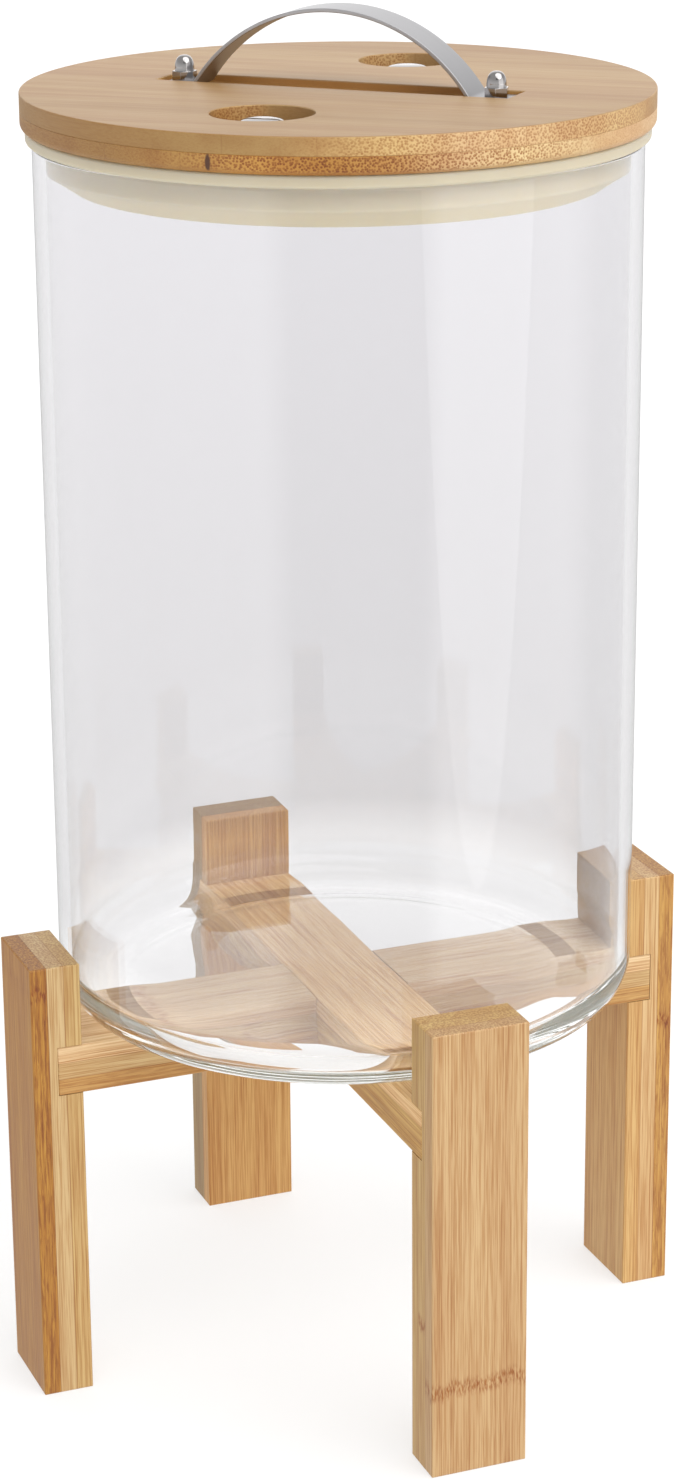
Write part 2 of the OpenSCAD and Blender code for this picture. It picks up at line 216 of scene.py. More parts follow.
# Noise drawn out along the fibres: its width and length in mm. Real threads and crumbs are finer,
# and these are as coarse as they need to be to show
GRAIN = {
    "dip": (BUNDLE, 22, {"Detail": 2.0}),
    "thread": (0.42, 26, {"Detail": 3.0, "Roughness": 0.6}),
    "mottle": (9, 140, {"Detail": 2.0}),
    "fleck": (0.8, 11, {"Detail": 4.0, "Roughness": 0.65, "Distortion": 0.6}),
    "wander": (4, math.inf, {"Detail": 4.0}),
    "crumb": (0.5, 2.6, {"Detail": 2.0}),
}
GLUE_HALF = 0.22             # mm, half the width of a glue line
KNOT_RANGE = 400             # mm, the longest run of fibre that a knot's place is counted in
KNOT_WANDER = 2.6            # mm that a knot strays along the strip
KNOT_HALF = 4.2              # mm, half the length of a knot
NO_KNOT = 190                # mm, a place that lies outside every piece
FIBRE_BROWN = linear("#CDA460")
DOT_BROWN = linear("#B5824C")
COARSE_BROWN = linear("#A8672C")
KNOT_BROWN = linear("#CA974C")
GLUE_BROWN = linear("#C29A6E")
MOTTLE_BROWN = linear("#D8B48A")


def bamboo(name, along, stack, start, strip, colours, knots, coarse=None, lines=0.58, dots=0.45, glue=0.7,
           end_colour="#DDDBDA", end_tone=(0, 0.45), blend="CONSTANT", veneer=None):
    """A board of lacquered bamboo strips. Fibres run along one way, and strips follow each other
    another way from start (mm), each with its own colour, the place of its knot (mm along the
    fibres), and how coarse it is. Lines show along the fibres and dots across their ends. A veneer,
    given as how far its fibres are turned from the board's and its colours, covers level faces."""
    material, tree, surface = new_material(name)
    place = add_node(tree, "TexCoord").outputs["Object"]
    facing = add_node(tree, "TexCoord").outputs["Normal"]
    if veneer:
        level_way = add_node(tree, "VectorMath", {0: facing, 1: UP},
                             operation="DOT_PRODUCT").outputs["Value"]
        on_veneer = add_node(tree, "MapRange", {"Value": level_way, "From Min": 0.6,
                             "From Max": 0.9}).outputs[0]
        whole = add_node(tree, "Math", {0: on_veneer, 1: 0.5}, operation="GREATER_THAN").outputs[0]
        turned = add_node(tree, "Math", {0: whole, 1: -veneer[0]}, operation="MULTIPLY").outputs[0]
        place = add_node(tree, "VectorRotate", {"Vector": place, "Angle": turned},
                         rotation_type="Z_AXIS").outputs[0]
    run, deep, side = [
        add_node(tree, "VectorMath", {0: place, 1: axis / MM}, operation="DOT_PRODUCT").outputs["Value"]
        for axis in (along, stack, along.cross(stack))]

    # Which strip this is, and how far across it
    count = len(colours)
    level = add_node(tree, "MapRange", {"Value": deep, "From Min": start,
                     "From Max": start + strip * count, "To Max": count}).outputs[0]
    level = add_node(tree, "Clamp", {"Value": level, "Min": 0.001, "Max": count - 0.001}).outputs[0]
    share = add_node(tree, "Math", {0: level, 1: count}, operation="DIVIDE").outputs[0]
    row = add_node(tree, "Math", {0: level}, operation="FLOOR").outputs[0]
    across = add_node(tree, "Clamp", {"Value": level, "Min": 0.5, "Max": count - 0.5}).outputs[0]
    across = add_node(tree, "Math", {0: across}, operation="FRACT").outputs[0]
    strip_colour = add_node(tree, "ValToRGB", {"Fac": share})
    strip_knot = add_node(tree, "ValToRGB", {"Fac": share})
    strip_knot.color_ramp.interpolation = "CONSTANT"
    strip_colour.color_ramp.interpolation = blend
    ramps = [(strip_colour.color_ramp, [linear(c) for c in colours]),
             (strip_knot.color_ramp, [(k / KNOT_RANGE + 0.5,) * 3 + (c,)
                                      for k, c in zip(knots, coarse or [0] * count)])]
    if veneer:
        veneer_colour = add_node(tree, "ValToRGB", {"Fac": share})
        ramps.append((veneer_colour.color_ramp, [linear(c) for c in veneer[1]]))
    for ramp, stops in ramps:
        ramp.elements.remove(ramp.elements[1])
        for i, stop in enumerate(stops):
            element = ramp.elements[0] if i == 0 else ramp.elements.new(i / count)
            element.color = stop

    # Bundles of fibre, as columns that are cut along or across. Each dips under the surface at times
    shift = add_node(tree, "Math", {0: row, 1: STRIP_SHIFT}, operation="MULTIPLY").outputs[0]
    shift = add_node(tree, "CombineXYZ", {"X": shift, "Y": shift, "Z": shift}).outputs[0]
    fibres = add_node(tree, "CombineXYZ", {"X": deep, "Y": side, "Z": run}).outputs[0]
    fibres = add_node(tree, "VectorMath", {0: fibres, 1: shift}, operation="ADD").outputs[0]
    columns = add_node(tree, "VectorMath", {0: fibres, 1: (1 / BUNDLE, 1 / BUNDLE, 0)},
                       operation="MULTIPLY").outputs[0]
    bundle = add_node(tree, "TexVoronoi", {"Vector": columns, "Scale": 1.0}, voronoi_dimensions="2D")
    dot = add_node(tree, "MapRange", {"Value": bundle.outputs["Distance"], "From Min": 0.56,
                   "From Max": 0.26}, interpolation_type="SMOOTHSTEP").outputs[0]
    strength = add_node(tree, "MapRange", {"Value": bundle.outputs["Color"], "To Min": 0.35}).outputs[0]
    dot = add_node(tree, "Math", {0: dot, 1: strength}, operation="MULTIPLY").outputs[0]
    noise = {}
    for kind, (width, length, settings) in GRAIN.items():
        drawn = add_node(tree, "VectorMath", {0: fibres, 1: (1 / width, 1 / width, 1 / length)},
                         operation="MULTIPLY").outputs[0]
        noise[kind] = add_node(tree, "TexNoise", {"Vector": drawn, "Scale": 1.0, **settings}).outputs["Fac"]
    dip = add_node(tree, "MapRange", {"Value": noise["dip"], "From Min": 0.38, "From Max": 0.58,
                   "To Min": 0.25}, interpolation_type="SMOOTHSTEP").outputs[0]
    thread = add_node(tree, "MapRange", {"Value": noise["thread"], "From Min": 0.42, "From Max": 0.64},
                      interpolation_type="SMOOTHSTEP").outputs[0]
    patch = add_node(tree, "MapRange", {"Value": noise["mottle"], "From Min": 0.35, "From Max": 0.7,
                     "To Max": 0.35}, interpolation_type="SMOOTHSTEP").outputs[0]

    # The coarse outer wood of the culm: wavy brown flecks, faint on the strip's broad face
    fleck = add_node(tree, "MapRange", {"Value": noise["fleck"], "From Min": 0.44, "From Max": 0.62},
                     interpolation_type="SMOOTHSTEP").outputs[0]
    fleck = add_node(tree, "Math", {0: fleck, 1: strip_knot.outputs["Alpha"]},
                     operation="MULTIPLY").outputs[0]
    flat_way = add_node(tree, "VectorMath", {0: facing, 1: stack}, operation="DOT_PRODUCT").outputs["Value"]
    flat_way = add_node(tree, "Math", {0: flat_way}, operation="ABSOLUTE").outputs[0]
    on_edge = add_node(tree, "MapRange", {"Value": flat_way, "From Min": 0.95, "From Max": 0.4,
                       "To Min": 0.25}).outputs[0]
    fleck = add_node(tree, "Math", {0: fleck, 1: on_edge}, operation="MULTIPLY").outputs[0]

    # The knot: a ragged band across the strip, made of short dark dashes
    place_of_knot = add_node(tree, "MapRange", {"Value": strip_knot.outputs["Color"],
                             "To Min": -KNOT_RANGE / 2, "To Max": KNOT_RANGE / 2}).outputs[0]
    wave = add_node(tree, "MapRange", {"Value": noise["wander"], "From Min": 0.25, "From Max": 0.75,
                    "To Min": -KNOT_WANDER, "To Max": KNOT_WANDER}).outputs[0]
    off = add_node(tree, "Math", {0: run, 1: place_of_knot}, operation="SUBTRACT").outputs[0]
    off = add_node(tree, "Math", {0: off, 1: wave}, operation="SUBTRACT").outputs[0]
    off = add_node(tree, "Math", {0: off}, operation="ABSOLUTE").outputs[0]
    near = add_node(tree, "MapRange", {"Value": off, "From Min": KNOT_HALF, "From Max": 0.6},
                    interpolation_type="SMOOTHSTEP").outputs[0]
    dash = add_node(tree, "MapRange", {"Value": noise["crumb"], "From Min": 0.42, "From Max": 0.6}).outputs[0]
    knot = add_node(tree, "Math", {0: near, 1: dash}, operation="MULTIPLY").outputs[0]
    is_coarse = add_node(tree, "Math", {0: strip_knot.outputs["Alpha"], 1: 0.4},
                         operation="GREATER_THAN").outputs[0]
    seen = add_node(tree, "Mix", {0: is_coarse, 2: 1.0, 3: on_edge}).outputs[0]
    knot = add_node(tree, "Math", {0: knot, 1: seen}, operation="MULTIPLY").outputs[0]

    # The sawn end, where the fibres point out of the surface
    ahead = add_node(tree, "VectorMath", {0: facing, 1: along}, operation="DOT_PRODUCT").outputs["Value"]
    ahead = add_node(tree, "Math", {0: ahead}, operation="ABSOLUTE").outputs[0]
    end = add_node(tree, "MapRange", {"Value": ahead, "From Min": 0.7, "From Max": 0.92},
                   interpolation_type="SMOOTHSTEP").outputs[0]
    end_part = add_node(tree, "MapRange", {"Value": end, "To Min": end_tone[0],
                        "To Max": end_tone[1]}).outputs[0]
    thread_part = add_node(tree, "MapRange", {"Value": end, "To Min": lines, "To Max": 0.15}).outputs[0]
    dot_part = add_node(tree, "MapRange", {"Value": end, "To Min": lines, "To Max": dots}).outputs[0]
    thread_seen = add_node(tree, "Math", {0: thread, 1: thread_part}, operation="MULTIPLY").outputs[0]
    dot_seen = add_node(tree, "Math", {0: dot, 1: dot_part}, operation="MULTIPLY").outputs[0]
    shown = add_node(tree, "Mix", {0: end, 2: dip, 3: 1.0}).outputs[0]
    dot_seen = add_node(tree, "Math", {0: dot_seen, 1: shown}, operation="MULTIPLY").outputs[0]
    cut_dot = add_node(tree, "Math", {0: dot_seen, 1: end}, operation="MULTIPLY").outputs[0]

    # The glue line between two strips
    edge = add_node(tree, "Math", {0: across, 1: 0.5}, operation="SUBTRACT").outputs[0]
    edge = add_node(tree, "Math", {0: edge}, operation="ABSOLUTE").outputs[0]
    joint = add_node(tree, "MapRange", {"Value": edge, "From Min": 0.5 - GLUE_HALF / strip,
                     "From Max": 0.5, "To Max": glue}).outputs[0]

    colour = strip_colour.outputs["Color"]
    if veneer:
        colour = add_node(tree, "Mix", {0: on_veneer, 6: colour, 7: veneer_colour.outputs["Color"]},
                          data_type="RGBA").outputs[2]
    for part, tint in ((patch, MOTTLE_BROWN), (thread_seen, FIBRE_BROWN), (dot_seen, FIBRE_BROWN),
                       (cut_dot, DOT_BROWN), (fleck, COARSE_BROWN), (knot, KNOT_BROWN), (joint, GLUE_BROWN),
                       (end_part, linear(end_colour))):
        colour = add_node(tree, "Mix", {0: part, 6: colour, 7: tint}, data_type="RGBA",
                          blend_type="MULTIPLY").outputs[2]
    tree.links.new(colour, surface.inputs["Base Color"])
    rough = add_node(tree, "MapRange", {"Value": noise["thread"], "To Min": 0.38, "To Max": 0.58}).outputs[0]
    tree.links.new(rough, surface.inputs["Roughness"])
    relief = add_node(tree, "Math", {0: noise["thread"], 1: dot}, operation="SUBTRACT").outputs[0]
    bump = add_node(tree, "Bump", {"Height": relief, "Strength": 0.35, "Distance": 0.06 * MM})
    tree.links.new(bump.outputs["Normal"], surface.inputs["Normal"])
    return material


STRIPS = 3
UP = Vector((0, 0, 1))
LEGS = {                     # outward, strips from the inside out, their knots, how coarse, the ends' tone
    "leg_left": (Vector((-1, 0, 0)), ["#C9AB73", "#CBAF7F", "#B38131"],
                 [NO_KNOT, NO_KNOT, 145], [0, 0, 0.55], 0.6),
    "leg_right": (Vector((1, 0, 0)), ["#CFAA6F", "#D2B17F", "#C2954C"],
                  [NO_KNOT, NO_KNOT, 101], [0, 0, 0.5], 0.6),
    "leg_front": (Vector((0, -1, 0)), ["#C6A569", "#CAAB71", "#C5A476"], [NO_KNOT, 52, 31], [0, 0, 0], 0.2),
    "leg_back": (Vector((0, 1, 0)), ["#FBC67A", "#C3A26B", "#C6A56B"],
                 [NO_KNOT, NO_KNOT, 70], [0, 0, 0], 0.6),
}
for name, (outward, colours, knots, coarse, end_part) in LEGS.items():
    inner, outer = sorted(abs(corner.dot(outward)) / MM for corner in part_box(name))
    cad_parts[name].material_slots[0].material = bamboo(
        "lacquered_bamboo_" + name, UP, outward, inner, (outer - inner) / STRIPS, colours, knots, coarse,
        end_tone=(0, end_part))


def reopen(board):
    """A board's node tree, its colour socket, what feeds that, and the places on the board."""
    tree = board.node_tree
    socket = tree.nodes["Principled BSDF"].inputs["Base Color"]
    return tree, socket, socket.links[0].from_socket, add_node(tree, "TexCoord").outputs["Object"]


# Painted shade: the back leg's board is painted darker below the beams than above them, for the shade that
# falls there
FOOT_PAINTED_SHADE = "#D6D8D9"
FOOT_FADE = (146 * MM, 128 * MM)
tree, socket, wood_colour, place = reopen(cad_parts["leg_back"].material_slots[0].material)
height = add_node(tree, "SeparateXYZ", {0: place}).outputs[2]
foot_shade_part = add_node(tree, "MapRange", {"Value": height, "From Min": FOOT_FADE[0],
                "From Max": FOOT_FADE[1]}).outputs[0]
darker = add_node(tree, "Mix", {0: foot_shade_part, 6: wood_colour, 7: linear(FOOT_PAINTED_SHADE)}, data_type="RGBA",
                  blend_type="MULTIPLY").outputs[2]
tree.links.new(darker, socket)


# ---------------------------------------------------------------------------------------------
# The two beams. The same board as the legs, laid flat: three strips one above the other, halved
# where the beams cross so that their tops are flush, and glued into the housings of the legs.

BEAMS = {                    # along, strips from below, their knots, how coarse
    "beam_left_right": (Vector((1, 0, 0)), ["#C59C5D", "#CBAE7C", "#E2C69B"],
                        [NO_KNOT, -40, -70], [0.25, 0, 0]),
    "beam_front_back": (Vector((0, 1, 0)), ["#CEA75C", "#D4AF66", "#F0CC94"],
                        [60, NO_KNOT, NO_KNOT], [0.3, 0, 0]),
}
for name, (along, colours, knots, coarse) in BEAMS.items():
    low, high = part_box(name)
    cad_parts[name].material_slots[0].material = bamboo(
        "lacquered_bamboo_" + name, along, UP, low.z / MM, (high.z - low.z) / MM / STRIPS, colours, knots,
        coarse)


# ---------------------------------------------------------------------------------------------
# The dowels. Short turned pins of bare beech, glued across each joint of leg and beam. They are
# pale, fine in grain, and closed in by the wood round them.

BEECH_LIGHT = linear("#E2CDA8")
BEECH_DARK = linear("#CDAF82")
BEECH_VEIN = 0.5 * MM
BEECH_LENGTH = 25 * MM


def beech(name, along):
    """Bare beech: pale and matt, with a fine straight grain along the pin."""
    material, tree, surface = new_material(name, {"Roughness": 0.6})
    place = add_node(tree, "TexCoord").outputs["Object"]
    stretch = Vector((1, 1, 1)) / BEECH_VEIN
    stretch -= along * (1 / BEECH_VEIN - 1 / BEECH_LENGTH)
    grain = add_node(tree, "VectorMath", {0: place, 1: stretch}, operation="MULTIPLY").outputs[0]
    vein = add_node(tree, "TexNoise", {"Vector": grain, "Scale": 1.0, "Detail": 4.0}).outputs["Fac"]
    colour = add_node(tree, "Mix", {0: vein, 6: BEECH_LIGHT, 7: BEECH_DARK}, data_type="RGBA").outputs[2]
    tree.links.new(colour, surface.inputs["Base Color"])
    bump = add_node(tree, "Bump", {"Height": vein, "Strength": 0.3, "Distance": 0.1 * MM})
    tree.links.new(bump.outputs["Normal"], surface.inputs["Normal"])
    return material


for along, sides in ((Vector((1, 0, 0)), ("left", "right")), (Vector((0, 1, 0)), ("front", "back"))):
    wood = beech("bare_beech_along_" + "xy"[int(along.y)], along)
    for side in sides:
        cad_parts["dowel_" + side].material_slots[0].material = wood


# ---------------------------------------------------------------------------------------------
# The jar. Clear glass, pressed and spun in a mould: a straight wall, a rounded corner, a thick
# base whose floor stayed a little uneven, and a fire-polished rim. It stands on the crossing.

AROUND = 192
NEAR = 0.01 * MM             # how close two places have to be to count as the same


def choose(piece):
    """Selects one piece alone and makes it the active one."""
    bpy.ops.object.select_all(action="DESELECT")
    piece.select_set(True)
    bpy.context.view_layer.objects.active = piece


def start_editing(piece):
    """Opens a piece in edit mode with nothing selected."""
    choose(piece)
    bpy.ops.object.mode_set(mode="EDIT")
    bpy.ops.mesh.select_all(action="DESELECT")


def add_disc(radius, low, high, around):
    """Adds an upright cylinder on the axis, between two heights, and opens it in edit mode."""
    bpy.ops.mesh.primitive_cylinder_add(vertices=around, radius=radius, depth=high - low,
                                        location=(0, 0, (low + high) / 2))
    disc = bpy.context.object
    bpy.ops.object.transform_apply(location=True)
    start_editing(disc)
    return disc


def pick(kind, test):
    """In edit mode, selects only the faces or edges whose corners' places and normal pass a test."""
    mesh = bpy.context.object.data
    bpy.ops.mesh.select_mode(type=kind)
    bpy.ops.mesh.select_all(action="DESELECT")
    bpy.ops.object.mode_set(mode="OBJECT")
    for item in (mesh.polygons if kind == "FACE" else mesh.edges):
        corners = [mesh.vertices[i].co for i in item.vertices]
        item.select = test(corners, item.normal) if kind == "FACE" else test(corners)
    bpy.ops.object.mode_set(mode="EDIT")


def flat_at(height, way):
    """A test for faces that lie level at a height and look up (1) or down (-1)."""
    return lambda corners, normal: normal.z * way > 0.9 and all(abs(c.z - height) < NEAR for c in corners)


def loop_at(radius, height):
    """A test for edges that lie on a circle about the axis at a height."""
    return lambda corners: all(abs(c.z - height) < NEAR and abs(c.xy.length - radius) < NEAR for c in corners)


def round_edge(radius, height, width, steps):
    """In edit mode, rounds the edge that lies on a circle about the axis at a height."""
    pick("EDGE", loop_at(radius, height))
    bpy.ops.mesh.bevel(offset=width, segments=steps, affect="EDGES")


def draw_out(x, z):
    """In edit mode, extrudes what is selected along X and Z."""
    bpy.ops.mesh.extrude_region_move(TRANSFORM_OT_translate={"value": (x, 0, z)})


def modify(piece, kind, **settings):
    """Adds a modifier to a piece and applies it."""
    choose(piece)
    modifier = piece.modifiers.new(kind.lower(), kind)
    for name, value in settings.items():
        setattr(modifier, name, value)
    bpy.ops.object.modifier_apply(modifier=modifier.name)


def finish_piece(piece, name, material, body, node, smooth=30):
    """Ends a piece's modelling and ties it to its CAD body, slot and node."""
    if bpy.context.object and bpy.context.object.mode == "EDIT":
        bpy.ops.object.mode_set(mode="OBJECT")
    choose(piece)
    bpy.ops.object.transform_apply(location=True, rotation=True, scale=True)
    bpy.ops.object.shade_smooth_by_angle(angle=math.radians(smooth))
    modify(piece, "WEIGHTED_NORMAL", keep_sharp=True, weight=80)
    piece.name = name
    piece.data.name = name
    piece.data.materials.clear()
    piece.data.materials.append(material)
    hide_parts(node)
    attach(piece, body)


WALL = 4 * MM
BASE = 7 * MM
OUTER_CORNER = 15 * MM
INNER_CORNER = 11 * MM
RIM_ROUND = 1.2 * MM
STANDING_RING = 8 * MM
PUNT_SLOPE = 10 * MM
PUNT = 1.2 * MM
FLOOR_RINGS = 18

jar_low, jar_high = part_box("glass_jar")
jar_r = jar_high.x
jar_floor = jar_low.z + BASE
jar = add_disc(jar_r, jar_low.z, jar_high.z, AROUND)
pick("FACE", flat_at(jar_high.z, 1))
bpy.ops.mesh.inset(thickness=WALL)
draw_out(0, jar_floor - jar_high.z)
round_edge(jar_r, jar_low.z, OUTER_CORNER, 14)
round_edge(jar_r - WALL, jar_floor, INNER_CORNER, 12)
for radius in (jar_r, jar_r - WALL):
    round_edge(radius, jar_high.z, RIM_ROUND, 5)
pick("FACE", flat_at(jar_low.z, -1))
bpy.ops.mesh.inset(thickness=STANDING_RING)
bpy.ops.mesh.inset(thickness=PUNT_SLOPE, depth=-PUNT)
floor_r = jar_r - WALL - INNER_CORNER
pick("FACE", flat_at(jar_floor, 1))
for ring in range(FLOOR_RINGS):
    bpy.ops.mesh.inset(thickness=floor_r / (FLOOR_RINGS + 0.5))
bpy.ops.mesh.poke()
bpy.ops.object.mode_set(mode="OBJECT")

# The floor of the jar is uneven by a few tenths of a millimetre, as pressed glass is
RIPPLE = 0.6 * MM
RIPPLE_LENGTH = 30 * MM
RIPPLE_MARGIN = 1 * MM
ripple = bpy.data.textures.new("glass_ripple", "CLOUDS")
ripple.noise_scale = RIPPLE_LENGTH
ripple.noise_depth = 1
inside = jar.vertex_groups.new(name="inside_floor")
inside.add([v.index for v in jar.data.vertices
            if abs(v.co.z - jar_floor) < NEAR and v.co.xy.length < floor_r - RIPPLE_MARGIN], 1, "REPLACE")
modify(jar, "DISPLACE", texture=ripple, texture_coords="LOCAL", direction="Z", strength=RIPPLE,
       mid_level=0.5, vertex_group="inside_floor")

# Soda-lime glass, faintly green in its depth. The wall's trace of grey, lighter towards the top, is partly
# the glass's own tint and partly painted shade on what is seen through it; the base is left clear, painted
# light that keeps it bright
GLASS_TINTS_AND_SHADE = [(0, "#FCFCFC"), (0.07, "#FCFCFC"), (0.12, "#E6E5E6"), (1, "#ECEBED")]  # share of height
GLASS_GREEN = "#B5E0CC"
soda_glass, tree, surface = new_material("clear_pressed_glass", {
    "Roughness": 0, "IOR": 1.5, "Transmission Weight": 1})
place = add_node(tree, "TexCoord").outputs["Object"]
height = add_node(tree, "SeparateXYZ", {0: place}).outputs[2]
share = add_node(tree, "MapRange", {"Value": height, "From Min": jar_low.z,
                 "From Max": jar_high.z}).outputs[0]
clear = add_node(tree, "ValToRGB", {"Fac": share})
clear.color_ramp.elements.remove(clear.color_ramp.elements[1])
for i, (place_up, shade) in enumerate(GLASS_TINTS_AND_SHADE):
    element = clear.color_ramp.elements[0] if i == 0 else clear.color_ramp.elements.new(place_up)
    element.color = linear(shade)
tree.links.new(clear.outputs["Color"], surface.inputs["Base Color"])
tint = add_node(tree, "VolumeAbsorption", {"Color": linear(GLASS_GREEN), "Density": 0.35})
tree.links.new(tint.outputs["Volume"], tree.nodes["Material Output"].inputs["Volume"])
finish_piece(jar, "straight_glass_jar", soda_glass, "jar", "glass_jar")
jar.visible_shadow = False   # light goes through it to what stands inside and behind


# ---------------------------------------------------------------------------------------------
# The seal. One moulding of cream silicone: a flange with a soft edge that covers the rim, and a
# hollow plug below it, upright at first and then drawn in, so that it finds its way into the jar.

FLANGE = 4 * MM
FLANGE_ROUND = 1.1 * MM
PLUG_GAP = 0.3 * MM
PLUG_WALL = 7.5 * MM
PLUG_TAPER = 6 * MM
PLUG_IN = 8 * MM
PLUG_LIP = 3 * MM
SOFT_ROUND = 0.7 * MM

seal_low, seal_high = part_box("silicone_seal")
seal_r = seal_high.x
plug_r = jar_r - WALL - PLUG_GAP
flange_z = seal_high.z - FLANGE
taper_z = seal_low.z + PLUG_TAPER
seal = add_disc(seal_r, flange_z, seal_high.z, AROUND)
pick("FACE", flat_at(flange_z, -1))
bpy.ops.mesh.inset(thickness=seal_r - plug_r)
draw_out(0, -PLUG_WALL)
bpy.ops.mesh.inset(thickness=PLUG_IN, depth=PLUG_TAPER)
bpy.ops.mesh.inset(thickness=PLUG_LIP)
draw_out(0, PLUG_WALL + PLUG_TAPER)
for height in (seal_high.z, flange_z):
    round_edge(seal_r, height, FLANGE_ROUND, 6)
for radius, height in ((plug_r - PLUG_IN, seal_low.z), (plug_r - PLUG_IN - PLUG_LIP, seal_low.z),
                       (plug_r, taper_z), (plug_r, flange_z)):
    round_edge(radius, height, SOFT_ROUND, 4)

# Silicone rubber, milky, so that light spreads inside it. The flange is painted greyer, as painted shade from
# the lid's overhang, and the mould's matt grain is drawn coarser than it is, to show
PLUG_CREAMS = ("#EDE5CD", "#E5D9BE")
TAPER_LIT_CREAM = "#F0E4C4"
TAPER_FADE = 2 * MM
FLANGE_SHADED_CREAMS = ("#C8BEA8", "#C1B49C")
FLANGE_FADE = 0.3 * MM
CLOUD = 18 * MM
MATT_GRAIN = 0.5 * MM
LIGHT_SPREAD = 9 * MM
silicone, tree, surface = new_material("cream_moulded_silicone", {
    "Subsurface Weight": 0.7, "Subsurface Radius": (1.0, 0.85, 0.6), "Subsurface Scale": LIGHT_SPREAD,
    "Roughness": 0.42, "IOR": 1.41})
place = add_node(tree, "TexCoord").outputs["Object"]
cloud = add_node(tree, "TexNoise", {"Vector": place, "Scale": 1 / CLOUD, "Detail": 3.0}).outputs["Fac"]
height = add_node(tree, "SeparateXYZ", {0: place}).outputs[2]
plug_cream = add_node(tree, "Mix", {0: cloud, 6: linear(PLUG_CREAMS[0]), 7: linear(PLUG_CREAMS[1])},
                      data_type="RGBA").outputs[2]
# Painted light: the drawn-in taper, which faces down, is painted a paler cream so that it looks lit from
# below
lit_taper_part = add_node(tree, "MapRange", {"Value": height, "From Min": taper_z + TAPER_FADE,
                 "From Max": taper_z - TAPER_FADE}).outputs[0]
plug_cream = add_node(tree, "Mix", {0: lit_taper_part, 6: plug_cream, 7: linear(TAPER_LIT_CREAM)},
                      data_type="RGBA").outputs[2]
shaded_flange_cream = add_node(tree, "Mix", {0: cloud, 6: linear(FLANGE_SHADED_CREAMS[0]), 7: linear(FLANGE_SHADED_CREAMS[1])},
                        data_type="RGBA").outputs[2]
flange_shade_part = add_node(tree, "MapRange", {"Value": height, "From Min": flange_z - FLANGE_FADE,
                   "From Max": flange_z + FLANGE_FADE}).outputs[0]
cream = add_node(tree, "Mix", {0: flange_shade_part, 6: plug_cream, 7: shaded_flange_cream}, data_type="RGBA").outputs[2]
tree.links.new(cream, surface.inputs["Base Color"])
matt = add_node(tree, "TexNoise", {"Vector": place, "Scale": 1 / MATT_GRAIN, "Detail": 2.0}).outputs["Fac"]
bump = add_node(tree, "Bump", {"Height": matt, "Strength": 0.05, "Distance": 0.05 * MM})
tree.links.new(bump.outputs["Normal"], surface.inputs["Normal"])
finish_piece(seal, "cream_seal", silicone, "lid", "silicone_seal")


# ---------------------------------------------------------------------------------------------
# The lid's two plies. Each is a board of bamboo strips laid side by side and turned to a disc;
# the two are glued with their grain at an angle, so that neither cups. Two round wells and the
# screw holes go through both, and a shallow groove for the handle is milled across the top.

LID_TURN = math.radians(-44)
LID_WAY = Vector((math.cos(LID_TURN), math.sin(LID_TURN), 0))
WELL_R = 16 * MM
SCREW_HOLE_R = 2.2 * MM
GROOVE_DEPTH = 2.4 * MM
GROOVE_HALF = 59.48 * MM
GROOVE_WIDTH = 16 * MM
PLY_AROUND = 256
WELL_AROUND = 96
HOLE_AROUND = 32
LOWER_ROUND = 2.2 * MM
TOP_EASE = 0.5 * MM
SEAM_EASE = 0.12 * MM
MOUTH_EASE = 0.4 * MM


def middle(node):
    """The middle of a CAD node."""
    low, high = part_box(node)
    return (low + high) / 2


def cut(piece, cutter):
    """Takes the cutter's shape out of a piece, and removes the cutter."""
    modify(piece, "BOOLEAN", object=cutter, operation="DIFFERENCE", solver="EXACT")
    bpy.data.objects.remove(cutter)


def ply(node, low_round, low_steps, high_round, high_steps):
    """A disc with its lower and upper edges eased, drilled for the wells and the screws."""
    low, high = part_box(node)
    disc = add_disc(high.x, low.z, high.z, PLY_AROUND)
    round_edge(high.x, low.z, low_round, low_steps)
    round_edge(high.x, high.z, high_round, high_steps)
    bpy.ops.object.mode_set(mode="OBJECT")
    holes = [("well_stud_" + end, WELL_R, WELL_AROUND) for end in ("front", "back")]
    holes += [("washer_" + side, SCREW_HOLE_R, HOLE_AROUND) for side in ("left", "right")]
    for holder, radius, around in holes:
        centre = middle(holder)
        bpy.ops.mesh.primitive_cylinder_add(vertices=around, radius=radius, depth=4 * (high.z - low.z),
                                            location=(centre.x, centre.y, low.z))
        cut(disc, bpy.context.object)
    return disc


upper_ply = ply("lid_upper_ply", SEAM_EASE, 1, TOP_EASE, 3)
lid_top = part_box("lid_upper_ply")[1].z
bpy.ops.mesh.primitive_cube_add(size=1, location=(0, 0, lid_top), rotation=(0, 0, LID_TURN))
bpy.context.object.scale = (2 * GROOVE_HALF, GROOVE_WIDTH, 2 * GROOVE_DEPTH)
cut(upper_ply, bpy.context.object)
lower_ply = ply("lid_lower_ply", LOWER_ROUND, 7, SEAM_EASE, 1)
for disc in (upper_ply, lower_ply):
    modify(disc, "BEVEL", limit_method="ANGLE", angle_limit=math.radians(60), width=MOUTH_EASE, segments=3)

# Both plies' strips run from rim to rim. The upper ply's level faces are a veneer with turned fibres
UPPER_GRAIN = math.radians(-78)
LOWER_GRAIN = math.radians(-102)
FACE_GRAIN = math.radians(-40)
UPPER_STRIPS = ["#B08549", "#BA9558", "#C19B61", "#CFAF75", "#CEAC7E",
                "#D1B283", "#C29E6C", "#CAAB78", "#C29C67", "#C4A26F"]
